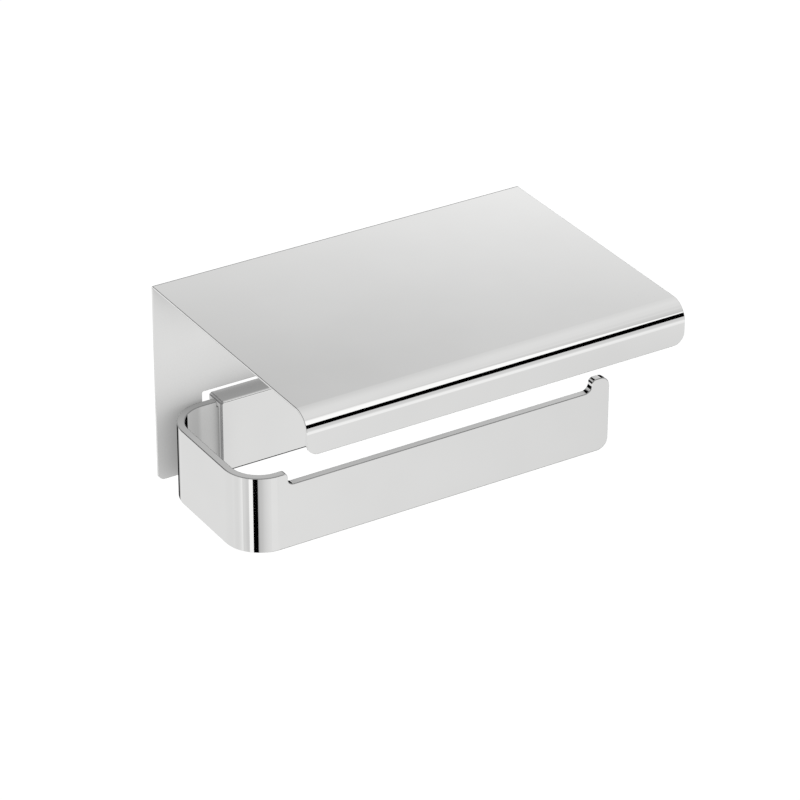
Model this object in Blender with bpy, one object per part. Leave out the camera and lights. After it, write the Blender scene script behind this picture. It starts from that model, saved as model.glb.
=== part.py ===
"""Toilet paper holder with a fixed shelf, for a wall.

One bent sheet makes the back plate, the shelf and its front lip. Below the shelf a flat bar, bent
twice, carries the roll. The bar's rear tongue is clamped inside a hollow housing, and the housing
hangs on a bracket that is screwed to the wall and is locked by a set screw from below.

Frame: X to the right along the wall, Y into the wall, Z up, in metres. The origin is on the wall
plane, midway between the shelf panel's two wall screws.
"""

import math

import bmesh
import bpy
from mathutils import Matrix, Vector

MM = 0.001

# Shelf panel
SHELF_WIDTH = 170 * MM
SHELF_DEPTH = 120.8 * MM
SHEET = 1.0 * MM
BACK_HEIGHT = 88.4 * MM
LIP_HEIGHT = 17.1 * MM
FRONT_BEND = 8 * MM
REAR_BEND = 1.2 * MM
LIP_CORNER = 5 * MM
BACK_CORNER = 3 * MM
SHEET_EDGE = 0.15 * MM

# Roll arm: a flat bar on edge, seen from above as a U that opens to the right
ARM_INSET = 1.0 * MM
ARM_LENGTH = 169.8 * MM
ARM_THICK = 3.2 * MM
ARM_HEIGHT = 33.7 * MM
ARM_DROP = 56.2 * MM
ARM_FRONT = -70.0 * MM
ARM_REAR = -3.45 * MM
ARM_FRONT_BEND = 15.7 * MM
ARM_REAR_BEND = 16.7 * MM
ARM_EDGE = 0.3 * MM
ARM_END_TOP = 4.5 * MM
ARM_END_BOTTOM = 5 * MM
NOTCH_DEPTH = 5.4 * MM
NOTCH_START = 20.5 * MM
NOTCH_END_TAB = 8.5 * MM
NOTCH_START_CREST = 1.5 * MM
NOTCH_START_ROOT = 2.8 * MM
NOTCH_END_CREST = 2.0 * MM
NOTCH_END_ROOT = 3.2 * MM
TONGUE_HEIGHT = 26 * MM
TONGUE_LENGTH = 27.5 * MM

# Housing that hides the bracket
HOUSING_INSET = 24.5 * MM
HOUSING_WIDTH = 60 * MM
HOUSING_HEIGHT = 32.6 * MM
HOUSING_DROP = 55.2 * MM
HOUSING_DEPTH = 9.8 * MM
HOUSING_WALL = 2.1 * MM
HOUSING_EDGE = 0.9 * MM
HOUSING_CORNER = 1.4 * MM
CAVITY_CORNER = 1.0 * MM
CUTOUT_SIDE = 3.7 * MM
CUTOUT_ABOVE = 1.8 * MM
CUTOUT_CORNER = 0.8 * MM

# Clamp that holds the tongue against the housing's front wall
BOSS_FROM_LEFT = (8.5 * MM, 20.5 * MM)
BOSS_RADIUS = 3 * MM
CLAMP_WIDTH = 22 * MM
CLAMP_HEIGHT = 18 * MM
CLAMP_THICK = 1.2 * MM
CLAMP_CORNER = 2.5 * MM
CLAMP_SCREW_RADIUS = 1.5 * MM
CLAMP_SCREW_LENGTH = 5.8 * MM
CLAMP_SCREW_HEAD = (2.75 * MM, 1.5 * MM)
CLAMP_SCREW_CHAMFER = 0.4 * MM
CLAMP_SCREW_RECESS = (1.5 * MM, 1.0 * MM)

# Wall bracket and the set screw that locks the housing on it
BRACKET_FROM_LEFT = 30.5 * MM
BRACKET_WIDTH = 26 * MM
BRACKET_HEIGHT = 24.9 * MM
BRACKET_SHEET = 1.5 * MM
BRACKET_REACH = 6.9 * MM
BRACKET_BEND = 2.0 * MM
BRACKET_CORNER = 1.5 * MM
BRACKET_SCREWS = ((7 * MM, 18.5 * MM), (20 * MM, 6.5 * MM))
SET_SCREW_FROM_LEFT = 43.5 * MM
SET_SCREW_RADIUS = 2.0 * MM
SET_SCREW_DEPTH = 4.1 * MM
SET_SCREW_RECESS = 0.3 * MM
SET_SCREW_KEY = 2.0 * MM
SET_SCREW_SOCKET = 2.4 * MM
SET_SCREW_CHAMFER = 0.3 * MM
SET_SCREW_CONE = 1.5 * MM
SET_SCREW_POINT = 0.6 * MM
SET_SCREW_BITE = 0.8 * MM
SET_SCREW_BLOCK = (8.4 * MM, 2.4 * MM)

# Wall fixings
SCREW_SPACING = 80 * MM
SCREW_DROP = 25 * MM
SCREW_CREST = 1.95 * MM
SCREW_ROOT = 1.45 * MM
SCREW_LENGTH = 30 * MM
SCREW_HEAD = (3.75 * MM, 2.5 * MM)
SCREW_PITCH = 2.8 * MM
SCREW_TIP = 5.5 * MM
SCREW_POINT = 0.3 * MM
SCREW_PLAIN = 5 * MM
SCREW_RECESS = (2.2 * MM, 1.5 * MM)
HEAD_DOME = 0.55
SHELF_HOLE = 3.2 * MM
SHELF_WASHER = (6 * MM, 1.0 * MM)
WASHER_CHAMFER = 0.3 * MM
PLUG_RADIUS = 3.0 * MM
PLUG_LENGTH = 28 * MM
PLUG_CORE = 2.75 * MM
PLUG_MOUTH = 3 * MM
PLUG_RIBS = 5
PLUG_SLIT = 0.8 * MM
PLUG_SLIT_START = 7 * MM

GAP = 0.3 * MM
PAST = 1.0 * MM
SCREW_HOLE = SCREW_CREST + GAP

# Places that follow from the dimensions
LEFT = -SHELF_WIDTH / 2
TOP = SCREW_DROP
ARM_LEFT = LEFT + ARM_INSET
ARM_RIGHT = ARM_LEFT + ARM_LENGTH
ARM_TOP = TOP - ARM_DROP
ARM_BOTTOM = ARM_TOP - ARM_HEIGHT
HOUSING_LEFT = LEFT + HOUSING_INSET
HOUSING_TOP = TOP - HOUSING_DROP
HOUSING_BOTTOM = HOUSING_TOP - HOUSING_HEIGHT
HOUSING_MIDDLE = HOUSING_TOP - HOUSING_HEIGHT / 2
CAVITY_FRONT = -HOUSING_DEPTH + HOUSING_WALL
CLAMP_FRONT = ARM_REAR + GAP
BRACKET_LEFT = HOUSING_LEFT + BRACKET_FROM_LEFT
BRACKET_TOP = HOUSING_TOP - HOUSING_WALL - GAP
BRACKET_BOTTOM = BRACKET_TOP - BRACKET_HEIGHT
SHELF_SCREWS = ((-SCREW_SPACING / 2, 0), (SCREW_SPACING / 2, 0))

CHROME = ((0.86, 0.86, 0.85), 0.05, 1.0)
ZINC = ((0.62, 0.63, 0.64), 0.32, 1.0)
STAINLESS = ((0.55, 0.55, 0.55), 0.25, 1.0)
NYLON_GREY = ((0.42, 0.43, 0.45), 0.55, 0.0)
NYLON_WHITE = ((0.82, 0.82, 0.8), 0.5, 0.0)


def clear_scene():
    for obj in list(bpy.data.objects):
        bpy.data.objects.remove(obj, do_unlink=True)


def make_object(name, mesh_builder, finish=None):
    """Turn a bmesh into an object; one without a finish is a helper that only cuts or adds."""
    bmesh.ops.recalc_face_normals(mesh_builder, faces=mesh_builder.faces)
    mesh = bpy.data.meshes.new(name)
    mesh_builder.to_mesh(mesh)
    mesh_builder.free()
    obj = bpy.data.objects.new(name, mesh)
    bpy.context.scene.collection.objects.link(obj)
    if finish is None:
        obj.hide_render = True
        obj.display_type = "WIRE"
        return obj
    colour, roughness, metallic = finish
    material = bpy.data.materials.new(name)
    material.use_nodes = True
    shader = material.node_tree.nodes["Principled BSDF"]
    shader.inputs["Base Color"].default_value = (*colour, 1.0)
    shader.inputs["Roughness"].default_value = roughness
    shader.inputs["Metallic"].default_value = metallic
    mesh.materials.append(material)
    mesh.shade_smooth()
    mesh.set_sharp_from_angle(angle=math.radians(30))
    return obj


def combine(target, tool, operation):
    modifier = target.modifiers.new(f"{operation.lower()} {tool.name}", "BOOLEAN")
    modifier.operation = operation
    modifier.solver = "EXACT"
    modifier.object = tool


def cut(target, *tools):
    for tool in tools:
        combine(target, tool, "DIFFERENCE")


def soften_edges(obj, width):
    modifier = obj.modifiers.new("softened edges", "BEVEL")
    modifier.width = width
    modifier.segments = 1
    modifier.limit_method = "ANGLE"
    modifier.angle_limit = math.radians(40)


def arc(centre, radius, start, end, steps):
    """Points from start to end degrees, both included."""
    turns = [math.radians(start + (end - start) * i / steps) for i in range(steps + 1)]
    return [(centre[0] + radius * math.cos(t), centre[1] + radius * math.sin(t)) for t in turns]


def rectangle(low, high):
    return [low, (high[0], low[1]), high, (low[0], high[1])]


def circle(centre, radius, steps=16):
    return arc(centre, radius, 0, 360 - 360 / steps, steps - 1)


def rounded_box(low, high, radius, steps=6):
    """Outline of a rectangle with round corners."""
    corners = (
        (high[0] - radius, high[1] - radius, 0),
        (low[0] + radius, high[1] - radius, 90),
        (low[0] + radius, low[1] + radius, 180),
        (high[0] - radius, low[1] + radius, 270),
    )
    return [p for x, y, turn in corners for p in arc((x, y), radius, turn, turn + 90, steps)]


def corner_waste(corner, radius, side, up, steps=8):
    """Outline of what a round corner takes off a square one; side and up are +1 or -1."""
    centre = (corner[0] - side * radius, corner[1] - up * radius)
    start, end = (90 * up, 90 - 90 * side)
    points = arc(centre, radius, start, end if abs(start - end) <= 90 else end - 360, steps)
    points.append((corner[0] + side * PAST, corner[1] - up * radius))
    points.append((corner[0] + side * PAST, corner[1] + up * PAST))
    points.append((corner[0] - side * radius, corner[1] + up * PAST))
    return points


def prism(name, outline, axis, start, end, finish=None):
    """Extrude an outline along axis. It is drawn in (y, z) for X, (x, z) for Y and (x, y) for Z."""
    place = {
        "X": lambda u, v, w: (w, u, v),
        "Y": lambda u, v, w: (u, w, v),
        "Z": lambda u, v, w: (u, v, w),
    }[axis]
    built = bmesh.new()
    face = built.faces.new([built.verts.new(place(u, v, start)) for u, v in outline])
    grown = bmesh.ops.extrude_face_region(built, geom=[face])
    far = [item for item in grown["geom"] if isinstance(item, bmesh.types.BMVert)]
    bmesh.ops.translate(built, verts=far, vec=Vector(place(0, 0, end - start)))
    return make_object(name, built, finish)


def turned(name, profile, finish=None, steps=16):
    """Spin a (radius, depth) profile about +Y through the origin; depth runs along +Y."""
    built = bmesh.new()
    points = [built.verts.new((max(r, 0), y, 0)) for r, y in profile]
    edges = [built.edges.new(pair) for pair in zip(points, points[1:])]
    bmesh.ops.spin(
        built,
        geom=points + edges,
        cent=(0, 0, 0),
        axis=(0, 1, 0),
        angle=math.tau,
        steps=steps,
        use_duplicate=False,
    )
    bmesh.ops.remove_doubles(built, verts=built.verts, dist=0.001 * MM)
    return make_object(name, built, finish)


def shelf_profile():
    """Section of the sheet in (y, z): up the wall side, forward over the top, down the lip."""
    inner_front = FRONT_BEND - SHEET
    inner_rear = REAR_BEND - SHEET
    front_centre = (-SHELF_DEPTH + FRONT_BEND, TOP - FRONT_BEND)
    rear_centre = (-REAR_BEND, TOP - REAR_BEND)
    outside = [(0, TOP - BACK_HEIGHT)]
    outside += arc(rear_centre, REAR_BEND, 0, 90, 8)
    outside += arc(front_centre, FRONT_BEND, 90, 180, 24)
    outside.append((-SHELF_DEPTH, TOP - LIP_HEIGHT))
    inside = [(-SHELF_DEPTH + SHEET, TOP - LIP_HEIGHT)]
    inside += arc(front_centre, inner_front, 180, 90, 24)
    inside += arc(rear_centre, inner_rear, 90, 0, 8)
    inside.append((-SHEET, TOP - BACK_HEIGHT))
    return outside + inside


def cutout_outline():
    """Opening in the back plate around the housing, open at the bottom."""
    left = HOUSING_LEFT - CUTOUT_SIDE
    right = HOUSING_LEFT + HOUSING_WIDTH + CUTOUT_SIDE
    top = HOUSING_TOP + CUTOUT_ABOVE
    below = TOP - BACK_HEIGHT - PAST
    outline = [(left, below), (right, below)]
    outline += arc((right - CUTOUT_CORNER, top - CUTOUT_CORNER), CUTOUT_CORNER, 0, 90, 4)
    outline += arc((left + CUTOUT_CORNER, top - CUTOUT_CORNER), CUTOUT_CORNER, 90, 180, 4)
    return outline


def make_shelf_panel():
    panel = prism("shelf_panel", shelf_profile(), "X", LEFT, -LEFT, CHROME)
    front = (-SHELF_DEPTH - PAST, -SHELF_DEPTH + SHEET + PAST)
    back = (-SHEET - PAST, PAST)
    cut(panel, prism("cutout_cutter", cutout_outline(), "Y", *back))
    for side in (-1, 1):
        lip = corner_waste((side * -LEFT, TOP - LIP_HEIGHT), LIP_CORNER, side, -1)
        cut(panel, prism(f"lip_corner_cutter_{side}", lip, "Y", *front))
        foot = corner_waste((side * -LEFT, TOP - BACK_HEIGHT), BACK_CORNER, side, -1)
        cut(panel, prism(f"foot_corner_cutter_{side}", foot, "Y", *back))
    for x, z in SHELF_SCREWS:
        hole = circle((x, z), SHELF_HOLE)
        cut(panel, prism("shelf_hole_cutter", hole, "Y", *back))
    soften_edges(panel, SHEET_EDGE)


def arm_plan():
    """The bar from above in (x, y): rear tongue, left side, front bar and back again."""
    tongue_end = HOUSING_LEFT + TONGUE_LENGTH
    rear_centre = (ARM_LEFT + ARM_REAR_BEND, ARM_REAR - ARM_REAR_BEND)
    front_centre = (ARM_LEFT + ARM_FRONT_BEND, ARM_FRONT + ARM_FRONT_BEND)
    outside = [(tongue_end, ARM_REAR)]
    outside += arc(rear_centre, ARM_REAR_BEND, 90, 180, 24)
    outside += arc(front_centre, ARM_FRONT_BEND, 180, 270, 24)
    outside.append((ARM_RIGHT, ARM_FRONT))
    inside = [(ARM_RIGHT, ARM_FRONT + ARM_THICK)]
    inside += arc(front_centre, ARM_FRONT_BEND - ARM_THICK, 270, 180, 24)
    inside += arc(rear_centre, ARM_REAR_BEND - ARM_THICK, 180, 90, 24)
    inside.append((tongue_end, ARM_REAR - ARM_THICK))
    return outside + inside


def notch_outline():
    """What the roll's rest takes off the front bar, in (x, z): round crests and hollow roots."""
    floor = ARM_TOP - NOTCH_DEPTH
    left = LEFT + NOTCH_START
    right = ARM_RIGHT - NOTCH_END_TAB
    outline = [(left - NOTCH_START_CREST, ARM_TOP + PAST)]
    crest = (left - NOTCH_START_CREST, ARM_TOP - NOTCH_START_CREST)
    outline += arc(crest, NOTCH_START_CREST, 90, 0, 6)
    outline += arc((left + NOTCH_START_ROOT, floor + NOTCH_START_ROOT), NOTCH_START_ROOT, 180, 270, 6)
    outline += arc((right - NOTCH_END_ROOT, floor + NOTCH_END_ROOT), NOTCH_END_ROOT, 270, 360, 8)
    crest = (right + NOTCH_END_CREST, ARM_TOP - NOTCH_END_CREST)
    outline += arc(crest, NOTCH_END_CREST, 180, 90, 6)
    outline.append((right + NOTCH_END_CREST, ARM_TOP + PAST))
    return outline


def make_roll_arm():
    arm = prism("roll_arm", arm_plan(), "Z", ARM_BOTTOM, ARM_TOP, CHROME)
    bar = (ARM_FRONT - PAST, ARM_FRONT + ARM_THICK + PAST)
    leg = (ARM_REAR - ARM_THICK - PAST, ARM_REAR + PAST)
    cut(arm, prism("notch_cutter", notch_outline(), "Y", *bar))
    upper = corner_waste((ARM_RIGHT, ARM_TOP), ARM_END_TOP, 1, 1)
    lower = corner_waste((ARM_RIGHT, ARM_BOTTOM), ARM_END_BOTTOM, 1, -1)
    cut(arm, prism("arm_end_top_cutter", upper, "Y", *bar))
    cut(arm, prism("arm_end_bottom_cutter", lower, "Y", *bar))
    shoulder = HOUSING_LEFT - GAP
    end = HOUSING_LEFT + TONGUE_LENGTH + PAST
    for name, edge, tongue in (("upper", ARM_TOP + PAST, 1), ("lower", ARM_BOTTOM - PAST, -1)):
        inner_edge = HOUSING_MIDDLE + tongue * TONGUE_HEIGHT / 2
        waste = rectangle((shoulder, inner_edge), (end, edge))
        cut(arm, prism(f"tongue_{name}_cutter", waste, "Y", *leg))
    for offset in BOSS_FROM_LEFT:
        hole = circle((HOUSING_LEFT + offset, HOUSING_MIDDLE), BOSS_RADIUS + GAP, 20)
        cut(arm, prism("boss_hole_cutter", hole, "Y", *leg))
    soften_edges(arm, ARM_EDGE)


def housing_block():
    """Outer block of the housing, with round corners and a rounded front rim."""
    built = bmesh.new()
    size = Vector((HOUSING_WIDTH, HOUSING_DEPTH, HOUSING_HEIGHT))
    centre = Vector((HOUSING_LEFT + HOUSING_WIDTH / 2, -HOUSING_DEPTH / 2, HOUSING_MIDDLE))
    bmesh.ops.create_cube(built, size=1, matrix=Matrix.Translation(centre) @ Matrix.Diagonal(size).to_4x4())
    corners = [e for e in built.edges if abs(e.verts[0].co.y - e.verts[1].co.y) > MM]
    bmesh.ops.bevel(built, geom=corners, offset=HOUSING_CORNER, segments=6, profile=0.5, affect="EDGES")
    rim = [e for e in built.edges if all(v.co.y < -HOUSING_DEPTH / 2 for v in e.verts)]
    bmesh.ops.bevel(built, geom=rim, offset=HOUSING_EDGE, segments=5, profile=0.5, affect="EDGES")
    return make_object("mount_housing", built, CHROME)


def make_mount_housing():
    housing = housing_block()
    left, right = HOUSING_LEFT + HOUSING_WALL, HOUSING_LEFT + HOUSING_WIDTH - HOUSING_WALL
    floor, roof = HOUSING_BOTTOM + HOUSING_WALL, HOUSING_TOP - HOUSING_WALL
    cavity = rounded_box((left, floor), (right, roof), CAVITY_CORNER, 3)
    cut(housing, prism("cavity_cutter", cavity, "Y", CAVITY_FRONT, PAST))
    half_slot = TONGUE_HEIGHT / 2 + GAP
    slot_low = (HOUSING_LEFT - PAST, HOUSING_MIDDLE - half_slot)
    slot = rectangle(slot_low, (left + PAST, HOUSING_MIDDLE + half_slot))
    cut(housing, prism("tongue_slot_cutter", slot, "Y", CAVITY_FRONT, PAST))
    for offset in BOSS_FROM_LEFT:
        place = (HOUSING_LEFT + offset, HOUSING_MIDDLE)
        boss = circle(place, BOSS_RADIUS, 20)
        boss_end = ARM_REAR - GAP / 2
        combine(housing, prism("boss_adder", boss, "Y", CAVITY_FRONT - PAST, boss_end), "UNION")
        bore = circle(place, CLAMP_SCREW_RADIUS + GAP)
        cut(housing, prism("boss_bore_cutter", bore, "Y", CAVITY_FRONT - PAST, boss_end + PAST))
    add_set_screw_block(housing, floor)


def add_set_screw_block(housing, floor):
    """A block inside the bottom wall, bored through for the set screw."""
    width, height = SET_SCREW_BLOCK
    x = HOUSING_LEFT + SET_SCREW_FROM_LEFT
    outline = rectangle((x - width / 2, floor - PAST), (x + width / 2, floor + height))
    block = prism("set_screw_block_adder", outline, "Y", CAVITY_FRONT - PAST, -2 * GAP)
    combine(housing, block, "UNION")
    bore = circle((x, -SET_SCREW_DEPTH), SET_SCREW_RADIUS + GAP, 20)
    top = floor + height + PAST
    cut(housing, prism("set_screw_bore_cutter", bore, "Z", HOUSING_BOTTOM - PAST, top))


def make_clamp_plate():
    middle = HOUSING_LEFT + sum(BOSS_FROM_LEFT) / 2
    low = (middle - CLAMP_WIDTH / 2, HOUSING_MIDDLE - CLAMP_HEIGHT / 2)
    high = (middle + CLAMP_WIDTH / 2, HOUSING_MIDDLE + CLAMP_HEIGHT / 2)
    faces = (CLAMP_FRONT, CLAMP_FRONT + CLAMP_THICK)
    plate = prism("arm_clamp_plate", rounded_box(low, high, CLAMP_CORNER), "Y", *faces, ZINC)
    for offset in BOSS_FROM_LEFT:
        hole = circle((HOUSING_LEFT + offset, HOUSING_MIDDLE), CLAMP_SCREW_RADIUS + GAP)
        cut(plate, prism("clamp_hole_cutter", hole, "Y", faces[0] - PAST, faces[1] + PAST))


def bracket_profile():
    """Section of the wall bracket in (y, z): a channel that opens away from the wall."""
    inner = BRACKET_BEND - BRACKET_SHEET
    top, bottom = BRACKET_TOP, BRACKET_BOTTOM
    outside = [(-BRACKET_REACH, bottom)]
    outside += arc((-BRACKET_BEND, bottom + BRACKET_BEND), BRACKET_BEND, 270, 360, 6)
    outside += arc((-BRACKET_BEND, top - BRACKET_BEND), BRACKET_BEND, 0, 90, 6)
    outside.append((-BRACKET_REACH, top))
    inside = [(-BRACKET_REACH, top - BRACKET_SHEET)]
    inside += arc((-BRACKET_BEND, top - BRACKET_BEND), inner, 90, 0, 3)
    inside += arc((-BRACKET_BEND, bottom + BRACKET_BEND), inner, 360, 270, 3)
    inside.append((-BRACKET_REACH, bottom + BRACKET_SHEET))
    return outside + inside


def make_wall_bracket():
    right = BRACKET_LEFT + BRACKET_WIDTH
    bracket = prism("wall_bracket", bracket_profile(), "X", BRACKET_LEFT, right, ZINC)
    for x, z in bracket_screw_places():
        hole = circle((x, z), SCREW_HOLE)
        cut(bracket, prism("bracket_hole_cutter", hole, "Y", -BRACKET_SHEET - PAST, PAST))
    seat = circle((HOUSING_LEFT + SET_SCREW_FROM_LEFT, -SET_SCREW_DEPTH), SET_SCREW_RADIUS)
    top = BRACKET_BOTTOM + BRACKET_SHEET + PAST
    cut(bracket, prism("set_screw_seat_cutter", seat, "Z", BRACKET_BOTTOM - PAST, top))
    soften_edges(bracket, SHEET_EDGE)


def bracket_screw_places():
    return [(BRACKET_LEFT + x, BRACKET_BOTTOM + z) for x, z in BRACKET_SCREWS]


def make_set_screw():
    """Turned along its own axis, then stood on end so that its point is up."""
    length = BRACKET_BOTTOM + SET_SCREW_BITE - HOUSING_BOTTOM - SET_SCREW_RECESS
    profile = [
        (0, 0),
        (SET_SCREW_RADIUS - SET_SCREW_CHAMFER, 0),
        (SET_SCREW_RADIUS, SET_SCREW_CHAMFER),
        (SET_SCREW_RADIUS, length - SET_SCREW_CONE),
        (SET_SCREW_POINT, length),
        (0, length),
    ]
    screw = turned("set_screw", profile, STAINLESS)
    socket = circle((0, 0), SET_SCREW_KEY / math.sqrt(3), 6)
    cut(screw, prism("hex_socket_cutter", socket, "Y", -PAST, SET_SCREW_SOCKET))
    place = Vector((HOUSING_LEFT + SET_SCREW_FROM_LEFT, -SET_SCREW_DEPTH, HOUSING_BOTTOM + SET_SCREW_RECESS))
    stand = Matrix.Translation(place) @ Matrix.Rotation(math.radians(90), 4, "X")
    for obj in (screw, bpy.data.objects["hex_socket_cutter"]):
        obj.matrix_world = stand


def cross_recess(name, size, depth):
    """A cross-shaped cutter for a driver, at the origin and going in along +Y."""
    half = size / 5
    quarter = [(half, half), (half, size), (-half, size)]
    outline = []
    for _ in range(4):
        outline += quarter
        quarter = [(-v, u) for u, v in quarter]
    return prism(name, outline, "Y", -PAST, depth)


def pan_head(radius, height):
    """Profile of a domed head from its crown to its underside, depth measured from the crown."""
    dome = [
        (radius * math.sin(math.radians(t)), height * HEAD_DOME * (1 - math.cos(math.radians(t))))
        for t in range(0, 91, 30)
    ]
    return dome + [(radius, height)]


def machine_screw(name, place, under_head):
    radius, height = CLAMP_SCREW_HEAD
    shank = CLAMP_SCREW_RADIUS
    end = height + CLAMP_SCREW_LENGTH
    profile = pan_head(radius, height)
    profile += [(shank, height), (shank, end - CLAMP_SCREW_CHAMFER)]
    profile += [(shank - CLAMP_SCREW_CHAMFER, end), (0, end)]
    screw = turned(name, profile, ZINC)
    recess = cross_recess(f"{name}_recess_cutter", *CLAMP_SCREW_RECESS)
    cut(screw, recess)
    turn = Matrix.Rotation(math.pi, 4, "Z")
    for obj in (screw, recess):
        obj.matrix_world = Matrix.Translation((place[0], under_head + height, place[1])) @ turn


def wood_screw(name, place, under_head):
    """A pan-head screw that runs into the wall, with a ring for each turn of its thread."""
    radius, height = SCREW_HEAD
    y = height + SCREW_PLAIN
    end = height + SCREW_LENGTH
    profile = pan_head(radius, height)
    profile += [(SCREW_ROOT, height), (SCREW_ROOT, y)]
    while y + SCREW_PITCH < end - SCREW_TIP:
        profile += [(SCREW_CREST, y + 0.5 * SCREW_PITCH), (SCREW_ROOT, y + SCREW_PITCH)]
        y += SCREW_PITCH
    profile += [(SCREW_ROOT, end - SCREW_TIP), (SCREW_POINT, end), (0, end)]
    screw = turned(name, profile, ZINC, 12)
    recess = cross_recess(f"{name}_recess_cutter", *SCREW_RECESS)
    cut(screw, recess)
    for obj in (screw, recess):
        obj.location = (place[0], under_head - height, place[1])


def wall_plug(name, place):
    """A ribbed plug in the wall, slit along most of its length so that it can spread."""
    step = (PLUG_LENGTH - PLUG_MOUTH) / PLUG_RIBS
    profile = [(SCREW_HOLE, 0), (PLUG_RADIUS, 0), (PLUG_RADIUS, PLUG_MOUTH)]
    for i in range(PLUG_RIBS):
        start = PLUG_MOUTH + i * step
        profile += [(PLUG_CORE, start + 0.15 * step), (PLUG_RADIUS, start + 0.95 * step)]
    profile += [(PLUG_CORE, PLUG_LENGTH), (SCREW_HOLE, PLUG_LENGTH), (SCREW_HOLE, 0)]
    plug = turned(name, profile, NYLON_GREY, 14)
    slit = rectangle((-PLUG_SLIT / 2, -2 * PLUG_RADIUS), (PLUG_SLIT / 2, 2 * PLUG_RADIUS))
    cutter = prism(f"{name}_slit_cutter", slit, "Y", PLUG_SLIT_START, PLUG_LENGTH + PAST)
    cut(plug, cutter)
    for obj in (plug, cutter):
        obj.location = (place[0], GAP, place[1])


def shelf_washer(name, place):
    """A plastic washer whose shoulder centres the screw in the panel's oversize hole."""
    radius, thick = SHELF_WASHER
    shoulder = SHELF_HOLE - GAP
    face = -SHEET - GAP
    profile = [
        (SCREW_HOLE, -thick),
        (radius - WASHER_CHAMFER, -thick),
        (radius, WASHER_CHAMFER - thick),
        (radius, 0),
        (shoulder, 0),
        (shoulder, SHEET),
        (SCREW_HOLE, SHEET),
        (SCREW_HOLE, -thick),
    ]
    turned(name, profile, NYLON_WHITE).location = (place[0], face, place[1])


def make_fixings():
    sides = ("left", "right")
    for side, place in zip(sides, SHELF_SCREWS):
        shelf_washer(f"shelf_washer_{side}", place)
        wood_screw(f"shelf_screw_{side}", place, -SHEET - SHELF_WASHER[1] - 2 * GAP)
        wall_plug(f"shelf_plug_{side}", place)
    for side, place in zip(sides, bracket_screw_places()):
        wood_screw(f"bracket_screw_{side}", place, -BRACKET_SHEET - GAP)
        wall_plug(f"bracket_plug_{side}", place)
    for side, offset in zip(sides, BOSS_FROM_LEFT):
        place = (HOUSING_LEFT + offset, HOUSING_MIDDLE)
        machine_screw(f"arm_screw_{side}", place, CLAMP_FRONT + CLAMP_THICK + GAP)


def main():
    clear_scene()
    make_shelf_panel()
    make_roll_arm()
    make_mount_housing()
    make_clamp_plate()
    make_wall_bracket()
    make_set_screw()
    make_fixings()


main()
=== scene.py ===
"""Looks of the wall-mounted toilet paper holder: finished pieces, materials, studio and camera.

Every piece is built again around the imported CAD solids, with fine bends, rounded sheet edges and
real screw threads, and takes its size and place from them. Metres, +X right along the wall,
+Y into it, +Z up.
"""

import math

import bmesh
import bpy
from mathutils import Matrix, Vector


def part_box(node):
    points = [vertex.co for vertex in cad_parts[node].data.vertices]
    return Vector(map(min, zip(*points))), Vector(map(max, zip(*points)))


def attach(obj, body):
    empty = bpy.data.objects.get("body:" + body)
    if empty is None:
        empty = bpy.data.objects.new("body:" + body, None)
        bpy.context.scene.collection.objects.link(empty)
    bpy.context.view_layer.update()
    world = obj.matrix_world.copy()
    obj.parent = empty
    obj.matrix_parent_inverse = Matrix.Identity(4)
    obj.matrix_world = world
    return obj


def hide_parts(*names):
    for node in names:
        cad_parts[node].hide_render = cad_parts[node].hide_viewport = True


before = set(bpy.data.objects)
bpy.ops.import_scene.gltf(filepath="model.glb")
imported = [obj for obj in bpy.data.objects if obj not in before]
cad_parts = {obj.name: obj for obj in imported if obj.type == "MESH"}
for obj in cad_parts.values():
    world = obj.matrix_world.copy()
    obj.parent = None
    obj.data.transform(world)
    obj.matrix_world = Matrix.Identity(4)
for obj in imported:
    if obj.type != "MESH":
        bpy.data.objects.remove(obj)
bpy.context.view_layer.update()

MM = 0.001
PAST = 1.0 * MM  # how far a cutter runs past what it cuts
SHARP = math.radians(32)  # edges sharper than this are rounded
EDGE_LEAN = 0.12  # on a rounded edge the normal leans more than this
SIDE_LEAN = 0.08  # the same on the softer edges of the housing

# Shelf panel: one bent sheet
SHEET = 1.0 * MM
FRONT_BEND = 8 * MM
REAR_BEND = 1.2 * MM
LIP_HEIGHT = 17.1 * MM
LIP_CORNER = 5 * MM
BACK_CORNER = 3 * MM
CUTOUT_SIDE = 3.7 * MM
CUTOUT_ABOVE = 1.8 * MM
CUTOUT_CORNER = 0.8 * MM
SHELF_HOLE = 3.2 * MM
SHEET_ROUND = 0.3 * MM

# Roll arm: a flat bar on edge
ARM_THICK = 3.2 * MM
ARM_FRONT_BEND = 15.7 * MM
ARM_REAR_BEND = 16.7 * MM
ARM_END_TOP = 4.5 * MM
ARM_END_BOTTOM = 5 * MM
ARM_ROUND = 0.3 * MM
NOTCH_DEPTH = 5.4 * MM
NOTCH_START = 19.5 * MM
NOTCH_END = 8.5 * MM
NOTCH_CRESTS = (1.5 * MM, 2.0 * MM)
NOTCH_ROOTS = (2.8 * MM, 3.2 * MM)
TONGUE_HEIGHT = 26 * MM
TONGUE_LENGTH = 27.5 * MM
TONGUE_GAP = 0.3 * MM

# Housing
HOUSING_WALL = 2.1 * MM
HOUSING_EDGE = 0.12 * MM
HOUSING_ROUND = 0.9 * MM
HOUSING_CORNER = 1.4 * MM
CAVITY_CORNER = 1.0 * MM
CAVITY_INSET = 1.5 * MM  # faces further in than this belong to the cavity
BOSS_RADIUS = 3 * MM
BOSS_HOLE = 3.3 * MM
BOSS_BORE = 1.8 * MM
BOSS_DEPTH = 3.6 * MM
BLOCK = (8.4 * MM, 2.4 * MM, 0.6 * MM)

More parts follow.
